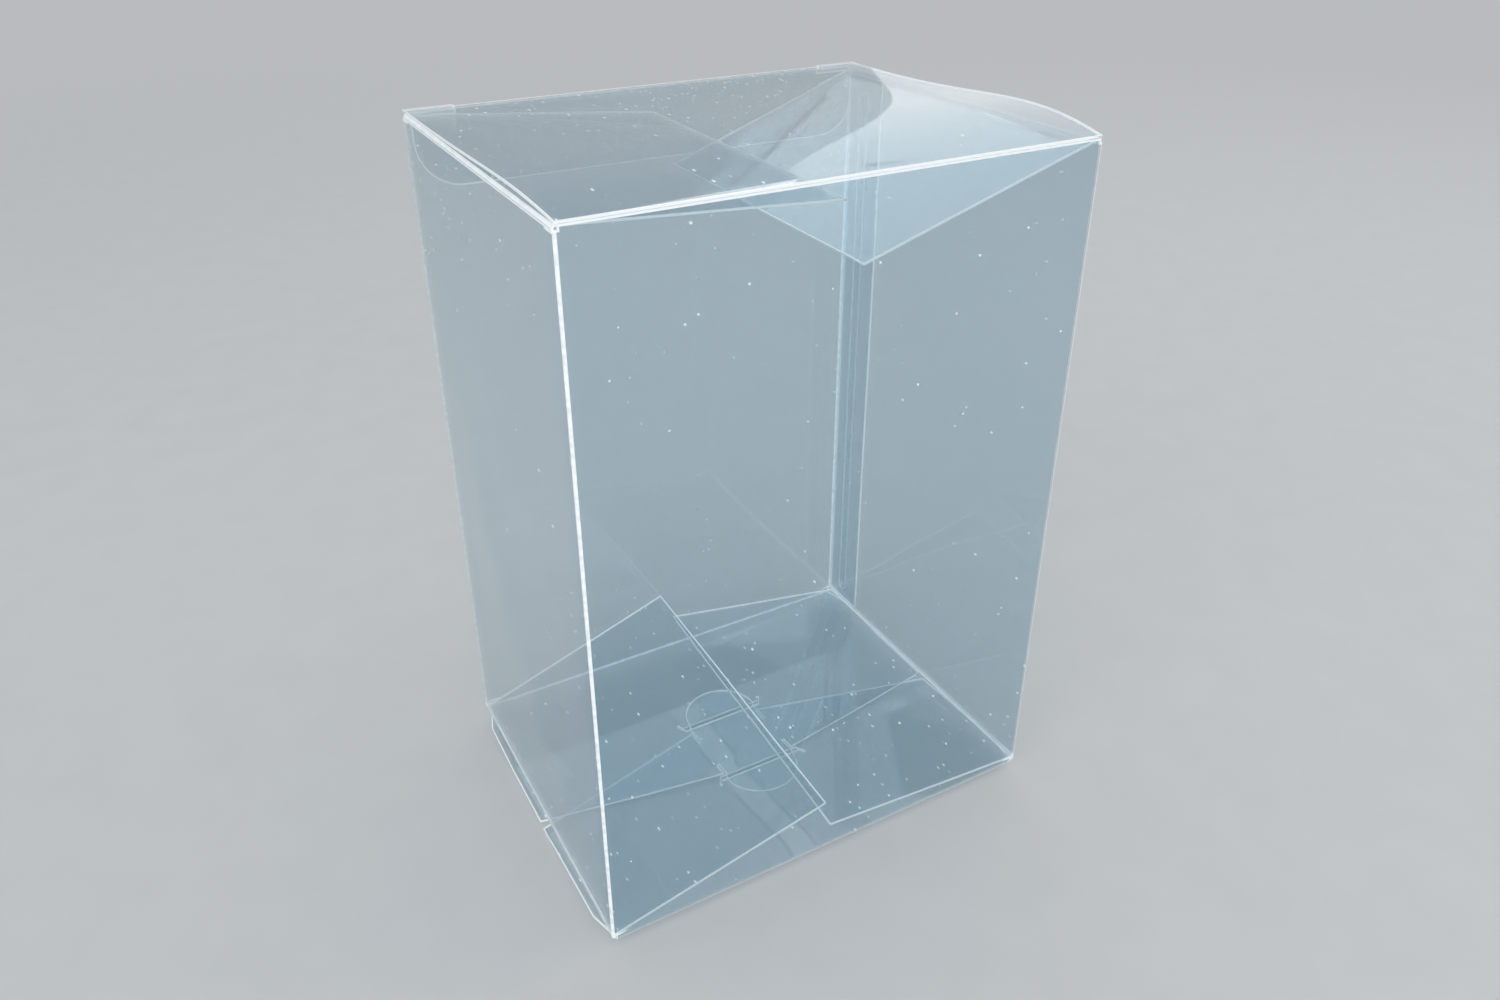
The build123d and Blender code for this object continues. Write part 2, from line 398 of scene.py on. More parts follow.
# %% Waves in the film
def ripple(a, b, waves):
    """Sum of long waves over a panel, from -1 to 1."""
    total = sum(
        strength * np.sin(2 * math.pi * (a * across + b * along) + start)
        for across, along, start, strength in waves
    )
    return total / sum(wave[3] for wave in waves)


LONG_WAVES = (
    (1 / 150, 1 / 190, 0.4, 1.0),
    (-1 / 85, 1 / 120, 2.1, 0.7),
    (1 / 60, 1 / 75, 4.0, 0.45),
    (-1 / 43, 1 / 58, 1.2, 0.25),
)


def swell(across, up, half_across, low, high):
    """Weight of the waves on a wall: one in its middle and zero at its creases."""
    sideways = np.clip((across / half_across + 1) / 2, 0, 1)
    upward = np.clip((up - low) / (high - low), 0, 1)
    return (np.sin(math.pi * sideways) * np.sin(math.pi * upward)) ** 1.5


WALL_WAVES = {"front": (-0.5, 0.5), "right": (0.3, 0.7), "back": (-0.5, 0.5), "left": (0.3, 0.7)}
WALL_TURN = {"front": 0, "right": 90, "back": 180, "left": 270}
SEAM_LOW = 4.4
SEAM_HIGH = 166.4


def wave_out(wall, across, up):
    """How far a wall bulges outward at a place, in millimetres."""
    mean, amplitude = WALL_WAVES[wall]
    half_across = FLAT_HALF_X if wall in ("front", "back") else FLAT_HALF_Y
    start = WALL_TURN[wall]
    waves = [(a, b, phase + start, strength) for a, b, phase, strength in LONG_WAVES]
    weight = swell(across, up, half_across, SEAM_LOW, SEAM_HIGH)
    return weight * (mean + amplitude * ripple(across, up, waves))


print("the right wall bulges by", round(float(wave_out("right", 0.0, 85.0)), 2), "mm in its middle")

# %% Wall band
GLUE_FLAP_END = 30.0
GLUE_LINE_X = 57.2
GLUE_FLAP_SHORT = 1.8
BACK_TOP = TOP_LEVEL - 0.2
FRONT_TOP = TOP_LEVEL + 0.1
COLUMN_LOW = 3.6
PANEL_HINGE = {"front": 57.0, "back": 56.5}
DUST_BACK = HALF_DEPTH - 1.8
RELIEF = 0.15
RELIEF_RISE = 0.4
GLUE_CHAMFER = 1.0
CREASE_PAST = 3.0
HINGE_WHITE = 0.5

band_line = bent_line(
    [
        (GLUE_LINE_X, GLUE_FLAP_END),
        (GLUE_LINE_X, WALL_LINE_Y),
        (-WALL_LINE_X, WALL_LINE_Y),
        (-WALL_LINE_X, -WALL_LINE_Y),
        (WALL_LINE_X, -WALL_LINE_Y),
        (WALL_LINE_X, HALF_DEPTH),
    ]
)
upright = band_line[2]
band_length = band_line[0][-1]

WALL_MIDDLE = {
    "back": upright[1] - (upright[3] - upright[2]) / 2,
    "left": (upright[1] + upright[2]) / 2,
    "front": (upright[2] + upright[3]) / 2,
    "right": upright[3] + (upright[2] - upright[1]) / 2,
}


def wall_edge(wall, side, half):
    """Distance along the band of a place beside a wall's middle."""
    return WALL_MIDDLE[wall] + side * half


def band_outline():
    """Flat outline of the wall band, counterclockwise from the glue flap's lower corner."""
    glue_low, glue_high = SEAM_LOW + RELIEF_RISE, TOP_LEVEL - GLUE_FLAP_SHORT
    low = [(0.0, glue_low + GLUE_CHAMFER), (GLUE_CHAMFER, glue_low)]
    low.append((upright[0] - GLUE_CHAMFER, glue_low))
    for wall in ("back", "left", "front", "right"):
        half = PANEL_HINGE.get(wall, FLAT_HALF_Y)
        start, end = wall_edge(wall, -1, half), wall_edge(wall, 1, half)
        low += [(start - RELIEF, COLUMN_LOW), (start - RELIEF, SEAM_LOW), (start, SEAM_LOW)]
        low += [(end, SEAM_LOW)]
        if wall != "right":
            low += [(end + RELIEF, SEAM_LOW), (end + RELIEF, COLUMN_LOW)]
    column_high = SEAM_HIGH + RELIEF_RISE
    high = [(band_length, SEAM_LOW), (band_length, SEAM_HIGH)]
    high += [(wall_edge("right", 1, DUST_BACK), SEAM_HIGH)]
    high += [(wall_edge("right", -1, FLAT_HALF_Y), SEAM_HIGH)]
    high += [(wall_edge("right", -1, FLAT_HALF_Y + RELIEF), column_high)]
    for side, level in ((1, column_high), (1, FRONT_TOP), (-1, FRONT_TOP), (-1, column_high)):
        high.append((wall_edge("front", side, FLAT_HALF_X), level))
    high += [(wall_edge("left", 1, FLAT_HALF_Y + RELIEF), column_high)]
    high += [(wall_edge("left", 1, FLAT_HALF_Y), SEAM_HIGH)]
    high += [(wall_edge("left", -1, DUST_BACK), SEAM_HIGH)]
    high += [(wall_edge("back", 1, FLAT_HALF_X + RELIEF), SEAM_HIGH)]
    high += [(wall_edge("back", 1, FLAT_HALF_X), BACK_TOP)]
    high += [(wall_edge("back", -1, PANEL_HINGE["back"]), BACK_TOP)]
    high.append((upright[0] - GLUE_CHAMFER, glue_high))
    high += [(GLUE_CHAMFER, glue_high), (0.0, glue_high - GLUE_CHAMFER)]
    return low + high


def wind(flat):
    """Winds the flat band round the box and adds the walls' waves."""
    around = on_line(band_line, flat[:, 0])
    places = np.stack([around[:, 0], around[:, 1], flat[:, 1]], axis=1)
    for wall, way in (("front", (0, -1)), ("right", (1, 0)), ("back", (0, 1)), ("left", (-1, 0))):
        across = flat[:, 0] - WALL_MIDDLE[wall]
        half = FLAT_HALF_X if wall in ("front", "back") else FLAT_HALF_Y
        out = np.where(np.abs(across) < half, wave_out(wall, across, flat[:, 1]), 0)
        places[:, 0] += way[0] * out
        places[:, 1] += way[1] * out
    on_flap = flat[:, 0] < upright[0] - FOLD_RADIUS
    out = np.where(on_flap, wave_out("right", around[:, 1], flat[:, 1]), 0)
    places[:, 0] += out
    return places


wall_creases = [((u, -CREASE_PAST), (u, TOP_LEVEL + CREASE_PAST), 1.0) for u in upright]
hinge_ends = [(wall_edge("front", side, FLAT_HALF_X), FRONT_TOP) for side in (-1, 1)]
wall_creases.append((*hinge_ends, HINGE_WHITE))
walls = fold(cut_panel(band_outline(), creases=wall_creases), wind)
print("the band is", round(band_length, 1), "mm long,", len(walls[0]), "points")

# %% [markdown]
# ## Dust flaps and side flaps
#
# Each side wall carries a dust flap at the top, folded in under the lid, and a side flap at the
# bottom. The side flaps stand up inside the box: the left one rests on nothing but its own
# springy crease, and both are a little twisted. A twisted flap is a straight blend from its front
# section to its back one.
#
# All flaps are drawn for a wall that faces the reader, and a turn about the upright axis puts them
# on their own wall.

# %% Flap helpers
SIDE_FLAP = 58.0
DUST_FLAP = 57.0
DUST_START = 1.0
DUST_GAP = 0.6
DUST_TAPER = 2.4
SHOULDER = 11.0
SHOULDER_STEP = 0.8
SIDE_WAVES, DUST_WAVES = 0.35, -0.3
JUST_PAST = 1e-6


def on_wall(wall, across, inward, up):
    """Places given by distance across a wall, distance in from its outside and height."""
    turn = math.radians(WALL_TURN[wall])
    half = HALF_DEPTH if wall in ("front", "back") else HALF_WIDTH
    y = -half + inward
    x = across * math.cos(turn) - y * math.sin(turn)
    return np.stack([x, across * math.sin(turn) + y * math.cos(turn), up], axis=1)


def hinged_section(level, way, angle, length):
    """Section of a flap on its wall as (inward, height); way is 1 for a bottom flap, -1 for a top one."""
    crease = level + way * HALF_FILM
    start = SEAM_LOW if way > 0 else SEAM_HIGH
    slope = math.radians(angle)
    end = (HALF_FILM + length * math.cos(slope), crease + way * length * math.sin(slope))
    return bent_line([(HALF_FILM, start), (HALF_FILM, crease), end])


def distance_at(section, inward):
    """Distance along a section at which it has come a given way in from its wall."""
    distances, places, _ = section
    past = places[:, 0] > HALF_FILM + JUST_PAST
    return float(np.interp(inward, places[past, 0], distances[past]))


def flap(wall, outline, sections, way, waves):
    """Flap between two end sections, one at each end of its wall, cut from an outline."""
    ends = [section[2][0] for section in sections]
    crease = way * sum(ends) / 2
    marks = [((-CREASE_PAST - HALF_WIDTH, crease), (CREASE_PAST + HALF_WIDTH, crease), 1.0)]
    length = sections[0][0][-1]

    def shape(flat):
        across, distance = flat[:, 0], way * flat[:, 1]
        share = ((across / FLAT_HALF_Y + 1) / 2)[:, None]
        place = on_line(sections[0], distance) * (1 - share) + on_line(sections[1], distance) * share
        weight = np.clip(distance / length, 0, 1) ** 2
        lift = waves * weight * ripple(across, distance, LONG_WAVES)
        return on_wall(wall, across, place[:, 0], place[:, 1] + lift)

    return fold(cut_panel(outline, creases=marks), shape)


print("flap helpers are ready")

# %% Side flaps at the bottom
side_flaps = []
for wall, rises in (("left", (18.8, 12.6)), ("right", (4.6, 9.8))):
    sections = [hinged_section(SIDE_CREASE, 1, rise, SIDE_FLAP) for rise in rises]
    end = -min(section[0][-1] for section in sections)
    outline = [(-FLAT_HALF_Y, end), (FLAT_HALF_Y, end), (FLAT_HALF_Y, 0), (-FLAT_HALF_Y, 0)]
    side_flaps.append(flap(wall, outline, sections, -1, SIDE_WAVES))
    print(wall, "side flap is", round(-end, 1), "mm from its wall's seam to its free edge")

# %% Dust flaps at the top
dust_flaps = []
for wall, drop, side in (("left", 4.6, -1), ("right", 18.0, 1)):
    section = hinged_section(TOP_LEVEL, -1, drop, DUST_FLAP)
    front, back = -FLAT_HALF_Y, DUST_BACK
    free = distance_at(section, HALF_WIDTH - DUST_GAP)
    outline = [
        (front, 0),
        (front, distance_at(section, DUST_START)),
        (front + DUST_TAPER, free),
        (back - SHOULDER_STEP - DUST_TAPER, free),
        (back - SHOULDER_STEP, distance_at(section, SHOULDER + SHOULDER_STEP)),
        (back, distance_at(section, SHOULDER)),
        (back, 0),
    ]
    outline = [(side * across, along) for across, along in outline]
    dust_flaps.append(flap(wall, outline, [section, section], 1, DUST_WAVES))
    print(wall, "dust flap is", round(free, 1), "mm long and drops", drop, "degrees")

# %% [markdown]
# ## The locking floor
#
# Two panels close the bottom. Each has a half-moon tongue and a slit with a hooked cut at each
# end, and each tongue goes through the other panel's slit: the front one rises over the back panel
# and the back one dips under the front panel. The panels lie a fraction of a millimetre apart, so
# their sections repeat the CAD model's, and only the outline is drawn finer.

# %% Sections of the two floor panels
SLIT_DEPTH = 34.2
TONGUE_START = 55.8
TONGUE_RADIUS = 10.1
TONGUE_OFFSET = 0.6
SLOPE_TOP = (HALF_FILM, CREASE_HEIGHT + HALF_FILM)
RESTING, RAISED = HALF_FILM, HALF_FILM + LAYER_STEP
JOG_SLOPE = math.tan(math.radians(60))
TIP = TONGUE_START + TONGUE_RADIUS + FOLD_RADIUS
FRONT_LANDS = 39.0
BACK_LEVEL = (25.0, 51.0)

front_slope = [SLOPE_TOP, (SLIT_DEPTH - FOLD_RADIUS, RAISED), (FRONT_LANDS, RESTING)]
back_slope = [SLOPE_TOP] + [(depth, RAISED) for depth in BACK_LEVEL]


def height_on(slope, depth):
    """Height of a panel's middle at a depth from its wall."""
    return float(np.interp(depth, [p[0] for p in slope], [p[1] for p in slope]))


def floor_section(slope, start, over, tip_height):
    """Section of a floor panel: down its wall, along its slope and up or down the tongue's jog."""
    run = abs(over - start) / JOG_SLOPE
    jog = [(TONGUE_START - run / 2, start), (TONGUE_START + run / 2, over), (TIP, tip_height)]
    return bent_line([(HALF_FILM, SEAM_LOW)] + slope + jog)


front_over = height_on(back_slope, SLIT_DEPTH) + LAYER_STEP
front_tip = height_on(back_slope, 2 * HALF_DEPTH - TIP) + LAYER_STEP
back_over = height_on(front_slope, SLIT_DEPTH) + LAYER_STEP
back_tip = height_on(front_slope, 2 * HALF_DEPTH - TIP) - LAYER_STEP
front_section = floor_section(front_slope, RESTING, front_over, front_tip)
back_section = floor_section(back_slope, back_over, RESTING, back_tip)
print("tongues cross at", round(front_over, 2), "and", round(back_over, 2), "mm above the table")

# %% Outlines of the two floor panels
FLOOR_PLAN = {"front": (41.5, 54.0, -TONGUE_OFFSET), "back": (46.5, 55.0, TONGUE_OFFSET)}
OVERHANG = 59.1
TAPER_START, TAPER_DEPTH = 0.9, 9.0
NECK_CUT = 4.1
CUT_HALF = 0.2
SLIT_HALF_LENGTH = TONGUE_RADIUS + 1.4
SLIT_HALF_WIDTH = 0.65
HOOK_SPREAD, HOOK_LENGTH = 1.2, 2.0
# Narrower painted glint, a white band along the slits' cuts.
SLIT_GLOW = 0.32
JOG_WHITE = 0.3


def floor_outline(wall):
    """Floor panel with its half-moon tongue in plan, as (across, depth)."""
    side_depth, neck, offset = FLOOR_PLAN[wall]
    left = offset - TONGUE_RADIUS
    arc = [
        (offset - TONGUE_RADIUS * math.cos(t), TONGUE_START + TONGUE_RADIUS * math.sin(t))
        for t in np.linspace(0, math.pi, 33)
    ]
    entry = [(-PANEL_HINGE[wall], TAPER_START), (-OVERHANG, TAPER_DEPTH), (-OVERHANG, side_depth)]
    cut = [(left - CUT_HALF, neck), (left - CUT_HALF, neck - NECK_CUT)]
    cut += [(left + CUT_HALF, neck - NECK_CUT), (left + CUT_HALF, neck + CUT_HALF)]
    cut.append((left, neck + CUT_HALF))
    mirrored = [(2 * offset - x, y) for x, y in reversed(cut)]
    leave = [(-x, y) for x, y in reversed(entry)]
    return entry + cut + arc + mirrored + leave


def slit_outline(offset):
    """Slit with a hooked cut at each end, in plan."""
    spread, length = HOOK_SPREAD, HOOK_LENGTH
    half, reach = SLIT_HALF_LENGTH, math.hypot(spread, length)
    out_x, out_y = CUT_HALF * length / reach, CUT_HALF * spread / reach
    right = [
        (half, SLIT_HALF_WIDTH),
        (half + out_x, out_y),
        (half + spread + out_x, out_y - length),
        (half + spread - out_x, -out_y - length),
        (half, -2 * out_y),
        (half, -SLIT_HALF_WIDTH),
    ]
    left = [(-x, y) for x, y in reversed(right)]
    return [(offset + x, SLIT_DEPTH + y) for x, y in right + left]


print("a floor panel's outline has", len(floor_outline("front")), "corners")

# %% Floor panels
def floor_panel(wall, section):
    """Floor panel cut in plan, laid out along its section and folded in from its wall."""
    offset = FLOOR_PLAN[wall][2]
    hinge = PANEL_HINGE[wall]
    laid_out = [(x, -distance_at(section, y)) for x, y in floor_outline(wall)]
    slit = [(x, -distance_at(section, y)) for x, y in slit_outline(offset)]
    left, right = -OVERHANG - CREASE_PAST, OVERHANG + CREASE_PAST
    crease, *gentle, jog_start, jog_end = (-s for s in section[2])
    creases = [((left, crease), (right, crease), 1.0)]
    for jog in (jog_start, jog_end):
        creases.append(((offset - TONGUE_RADIUS, jog), (offset + TONGUE_RADIUS, jog), JOG_WHITE))
    bends = [((left, bend), (right, bend)) for bend in gentle]

    def shape(flat):
        place = on_line(section, -flat[:, 1])
        return on_wall(wall, flat[:, 0], place[:, 0], place[:, 1])

    outline = [(-hinge, 0)] + laid_out + [(hinge, 0)]
    return fold(cut_panel(outline, [slit], creases, bends, glow=SLIT_GLOW), shape)


front_floor = floor_panel("front", front_section)
back_floor = floor_panel("back", back_section)
print("floor panels have", len(front_floor[0]), "and", len(back_floor[0]), "points")

# %% Join the carton's panels into one folded sheet
CARTON_WEAR, FLOOR_WEAR, HEAD_WEAR = 0.18, 0.14, 0.45
WEAR_OFF_FLOOR = 30.0
HEAD_FROM, HEAD_FULL = 120.0, 160.0
BACK_FROM = 40.0

carton_sheet = joined([walls, front_floor, back_floor] + side_flaps + dust_flaps)


def carton_wear(places):
    """A few more specks on the floor, and many at the back wall's head, where hands open the box."""
    low = np.clip(1 - places[:, 2] / WEAR_OFF_FLOOR, 0, 1)
    head = np.clip((places[:, 2] - HEAD_FROM) / (HEAD_FULL - HEAD_FROM), 0, 1)
    return CARTON_WEAR + FLOOR_WEAR * low + HEAD_WEAR * head * (places[:, 1] > BACK_FROM)


carton = film_piece("folded_carton", carton_sheet, "carton", carton_wear)
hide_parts("carton")

# %% [markdown]
# ## The lid
#
# The lid turns on the front top crease and ends in a tuck flap. The real one doesn't lie flat: it
# bows up along its right edge, and less along its left one. The bow is a Bezier curve in the CAD
# section, and a table of that curve gives the height here. A lock slit at each end of the tuck
# crease leaves a small tab of the lid standing past it. The tuck crease is bent most often, so
# its whitened band is wider than the others and starts on the flat of the lid.

# %% Lid panel
LID_HALF = 57.7
TUCK_HALF = 56.6
TUCK_LINE = 44.1
TUCK_SEAM = 43.3
TAB_END = 45.0
LOCK_X = 46.7
LOCK_LOW = 166.6
BOW_LEFT, BOW_RIGHT = 0.9, 2.6
BOW_END = 36.1
BOW_DEPTHS = (-WALL_LINE_Y, 25.0 - WALL_LINE_Y, BOW_END - 46.0, BOW_END)
BOW_HEIGHTS = (0.0, 9 / 4, 0.0, 0.0)
BOW_WAVES = 0.25
WHITE_BEFORE_SEAM = (0.35, 0.1)


def bezier(controls, share):
    """Cubic Bezier curve from its first control value to its last."""
    rest = 1 - share
    weights = (rest**3, 3 * rest**2 * share, 3 * rest * share**2, share**3)
    return sum(weight * control for weight, control in zip(weights, controls))


along_bow = np.linspace(0, 1, 801)
bow_depth, bow_height = bezier(BOW_DEPTHS, along_bow), bezier(BOW_HEIGHTS, along_bow)


def lid_shape(flat):
    """Lid panel with its bow, a little uneven between the side edges."""
    x, y = flat[:, 0], flat[:, 1]
    crest = BOW_LEFT + (BOW_RIGHT - BOW_LEFT) * (x / LID_HALF + 1) / 2
    crest = crest * (1 + BOW_WAVES * (1 - (x / LID_HALF) ** 2) * ripple(x, y, LONG_WAVES))
    return np.stack([x, y, LID_LEVEL + crest * np.interp(y, bow_depth, bow_height)], axis=1)


lid_outline = [(-LID_HALF, -WALL_LINE_Y), (LID_HALF, -WALL_LINE_Y), (LID_HALF, TAB_END)]
lid_outline += [(LOCK_X, TAB_END), (LOCK_X, TUCK_SEAM), (-LOCK_X, TUCK_SEAM)]
lid_outline += [(-LOCK_X, TAB_END), (-LID_HALF, TAB_END)]
lid_creases = [((-LID_HALF, -WALL_LINE_Y), (LID_HALF, -WALL_LINE_Y), HINGE_WHITE)]
for before in WHITE_BEFORE_SEAM:
    lid_creases.append(((-LOCK_X, TUCK_SEAM - before), (LOCK_X, TUCK_SEAM - before), 1.0))
lid_panel = fold(cut_panel(lid_outline, creases=lid_creases), lid_shape)
print("the lid's crest is", round(float(lid_panel[0][:, 2].max()) - LID_LEVEL, 2), "mm high")

# %% Tuck flap
TUCK_LENGTH = 17.0
TUCK_LEAN = math.radians(6.5)
TUCK_CORNER = 10.0
WHITE_BEFORE_BEND = 0.3
LID_WEAR, TUCK_WEAR = 0.22, 0.4
TUCK_WEAR_FULL = 35.0

tuck_run, tuck_drop = TUCK_LENGTH * math.sin(TUCK_LEAN), TUCK_LENGTH * math.cos(TUCK_LEAN)
foot = (TUCK_LINE - tuck_run, LID_LEVEL - tuck_drop)
tuck_line = bent_line([(TUCK_SEAM, LID_LEVEL), (TUCK_LINE, LID_LEVEL), foot])
tuck_end = float(tuck_line[0][-1])
lock_low = float(np.interp(-LOCK_LOW, -tuck_line[1][1:, 1], tuck_line[0][1:]))
corner = [
    (TUCK_HALF - TUCK_CORNER * (1 - math.cos(t)), tuck_end - TUCK_CORNER * (1 - math.sin(t)))
    for t in np.linspace(0, math.pi / 2, 13)
]
tuck_right = [(LOCK_X, 0), (LOCK_X, lock_low), (TUCK_HALF, lock_low)] + corner
tuck_outline = tuck_right + [(-x, y) for x, y in reversed(tuck_right)]
tuck_bend = tuck_line[2][0]
whitened = (tuck_bend - WHITE_BEFORE_BEND, tuck_bend)
tuck_creases = [((-LOCK_X, y), (LOCK_X, y), 1.0) for y in whitened]


def tuck_shape(flat):
    """Tuck flap, folded down behind the back wall's top edge."""
    place = on_line(tuck_line, flat[:, 1])
    return np.stack([flat[:, 0], place[:, 0], place[:, 1]], axis=1)


tuck_panel = fold(cut_panel(tuck_outline, creases=tuck_creases), tuck_shape)


def lid_wear(places):
    """The tuck flap and the lid's back are rubbed most, where fingers open the box."""
    return LID_WEAR + TUCK_WEAR * np.clip(places[:, 1] / TUCK_WEAR_FULL, 0, 1)


lid = film_piece("lid_with_tuck_flap", joined([lid_panel, tuck_panel]), "lid", lid_wear)
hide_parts("lid")

# %% [markdown]
# ## The glue bead
#
# A bead of clear glue, pressed flat between the glue flap and the right wall, holds the carton
# together. It shows as two fine lines that join at each end, painted as a white glint along the
# bead's edge. It gets its own thin closed piece with slightly uneven sides, made by the same cutting
# and thickening. It is made a hair thinner than its gap, because two faces in the same place
# flicker in a render.

# %% Glue bead
GLUE_MIDDLE = 38.3
GLUE_LOW, GLUE_HIGH = 7.2, 161.6
GLUE_HALF = 1.85
GLUE_X = 57.5
BEAD = 0.16
# Width of the painted glint along the bead's edge, which draws its two fine lines.
BEAD_GLOW = 0.8
BEAD_GRID = 3.0

heights = np.linspace(GLUE_LOW + GLUE_HALF, GLUE_HIGH - GLUE_HALF, 48)
unevenness = 0.1 * np.sin(heights / 7.1) * np.sin(heights / 19.0 + 1)
ends = np.linspace(0, math.pi, 13)[1:-1]
bead_outline = [(GLUE_HALF + u, z) for z, u in zip(heights, unevenness)]
bead_outline += [(GLUE_HALF * math.cos(t), heights[-1] + GLUE_HALF * math.sin(t)) for t in ends]
bead_outline += [(-GLUE_HALF - u, z) for z, u in zip(heights[::-1], unevenness[::-1])]
bead_outline += [(-GLUE_HALF * math.cos(t), heights[0] - GLUE_HALF * math.sin(t)) for t in ends]


def bead_shape(flat):
    """Bead between the glue flap and the right wall, following the wall's waves."""
    y = flat[:, 0] + GLUE_MIDDLE
    return np.stack([GLUE_X + wave_out("right", y, flat[:, 1]), y, flat[:, 1]], axis=1)


def bead_wear(places):
    """No specks or scratches, because film covers the bead on both sides."""
    return np.zeros(len(places))


bead_sheet = fold(cut_panel(bead_outline, step=BEAD_GRID, glow=BEAD_GLOW), bead_shape)
bead = film_piece("seam_glue_bead", bead_sheet, "carton", bead_wear, BEAD)
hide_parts("seam_glue")

# %% [markdown]
# ## Shader sums in Python
#
# A finish is a web of nodes. Written out node by node, even a simple formula fills a page. One
# small class wraps a socket and turns Python's operators into Math nodes, and one method adds any
# other node: its settings first, because they decide which sockets it has, then its sockets.

# %% Class for sockets
class Wire:
    """An output socket that can be used in sums."""

    def __init__(self, socket):
        self.socket = socket

    def node(self, kind, settings=(), inputs=()):
        """Adds a node beside this socket and returns its first output that is in use."""
        added = self.socket.id_data.nodes.new(kind)
        for name, value in dict(settings).items():
            setattr(added, name, value)
        shown = [socket for socket in added.inputs if socket.enabled]
        for name, value in dict(inputs).items():
            by_number = isinstance(name, int)
            target = shown[name] if by_number else next(s for s in shown if s.name == name)
            if isinstance(value, Wire):
                self.socket.id_data.links.new(value.socket, target)
            else:
                target.default_value = value
        return Wire(next(socket for socket in added.outputs if socket.enabled))

    def output(self, name):
        """Another output of the same node."""
        return Wire(self.socket.node.outputs[name])

    def math(self, operation, *values):
        """Math node on this value and others."""
        inputs = dict(enumerate((self,) + values))
        return self.node("ShaderNodeMath", {"operation": operation}, inputs)

    def __add__(self, other):
        return self.math("ADD", other)

    def __mul__(self, other):
        return self.math("MULTIPLY", other)

    def __sub__(self, other):
        return self.math("SUBTRACT", other)

    def __rsub__(self, other):
        return self * -1 + other

    def __pow__(self, other):
        return self.math("POWER", other)

    __radd__ = __add__
    __rmul__ = __mul__

    def ramp(self, low, high):
        """Smooth rise from 0 to 1 between two values."""
        inputs = {0: self, 1: low, 2: high, 3: 0.0, 4: 1.0}
        return self.node("ShaderNodeMapRange", {"interpolation_type": "SMOOTHSTEP"}, inputs)

    def either(self, other):
        """The larger of two values."""
        return self.math("MAXIMUM", other)


def new_material(name):
    """Empty node material and a wire to start from, its object coordinates."""
    material = bpy.data.materials.new(name)
    material.use_nodes = True
    material.node_tree.nodes.clear()
    place = material.node_tree.nodes.new("ShaderNodeTexCoord")
    return material, Wire(place.outputs["Object"])


def show(material, surface):
    """Connects a shader to the material's output."""
    output = material.node_tree.nodes.new("ShaderNodeOutputMaterial")
    material.node_tree.links.new(surface.socket, output.inputs["Surface"])


print("sums such as 1 - mask now build Math nodes")

# %% [markdown]
# ## Clear film
#
# Real film lets most light through, takes a little of it as a cool tint, sends some back as gloss
# that grows at a slant, and turns white where it was creased. Glass with refraction would do the
# first three, but in film this thin it only makes noise and dark shadows. A Transparent shader with
# a tint, mixed with a pale haze and a glossy shader, gives the same look, and light and lamps pass
# through it. The haze stands for the film's slight cloudiness, and its blue-grey colour is a
# painted reflection of the surroundings. The gloss follows Schlick's rule, from Layer Weight's
# facing value, so it is the same from both sides of the film.
#
# Haze, dust specks, fine scratches, whitened creases and the painted cut-edge glint all raise one mask.

# %% Film finish
FILM_TINT = (0.903, 0.942, 0.96, 1.0)
# The haze's steel-blue colour is a painted reflection of the surroundings; the film's slight cloudiness
# itself is real.
HAZE_AND_REFLECTION_COLOUR = (0.31, 0.47, 0.57, 1.0)
# White of creased film, specks and scratches, and of the painted glint along cut edges.
WHITENED_AND_GLINT = (0.93, 0.96, 0.97, 1.0)
GLUE_TINT = (0.97, 0.98, 0.98, 1.0)
GLUE_COLOUR = (0.7, 0.76, 0.78, 1.0)
GLOSS_AT_FACE = 0.05
LET_THROUGH = (0.94, 0.955, 0.96, 1.0)
CREASE_RISE, EDGE_RISE = (0.12, 0.4), (0.0, 0.35)
CLOUD_SCALE = 22.0
MARKS_TURN = (20, 35, 10)
DASHES = (680, 270, 680)
HAIRLINES = (260, 18, 260)
SPECK_EDGE, SPECK_SHARE = (0.13, 0.25), 0.7
HAIRLINE_WIDTH, HAIRLINE_PATCHES = 0.01, (0.5, 0.62)
SPECK_WHITE, SCRATCH_WHITE = 0.85, 0.4


def noise(place, scale, detail=2.0):
    """Noise value from 0 to 1."""
    return place.node("ShaderNodeTexNoise", {}, {"Vector": place, "Scale": scale, "Detail": detail})


def stretched(place, scale):
    """Coordinates turned and stretched, for marks that run one way."""
    inputs = {"Vector": place, "Rotation": tuple(map(math.radians, MARKS_TURN)), "Scale": scale}
    return place.node("ShaderNodeMapping", {}, inputs)


def on_points(place, name):
    """A number that the mesh keeps on its points."""
    return place.node("ShaderNodeAttribute", {"attribute_name": name}).output("Fac")


def handling_marks(place, clouds, cells):
    """Specks in a share of the cells, and hairline scratches in patches, both more where worn."""
    wear = on_points(place, "wear")
    chance = cells.output("Color").node("ShaderNodeSeparateColor", {}, {0: cells.output("Color")})
    filled = (wear * wear * SPECK_SHARE - chance).ramp(0.0, 0.02)
    specks = (1 - cells.ramp(*SPECK_EDGE)) * filled
    from_line = (noise(stretched(place, HAIRLINES), 1.0, detail=0.0) - 0.5).math("ABSOLUTE")
    hairlines = 1 - from_line.ramp(0.0, HAIRLINE_WIDTH)
    scratches = hairlines * clouds.ramp(*HAIRLINE_PATCHES) * wear
    return (specks * SPECK_WHITE).either(scratches * SCRATCH_WHITE)


print("helpers for haze and marks are ready")

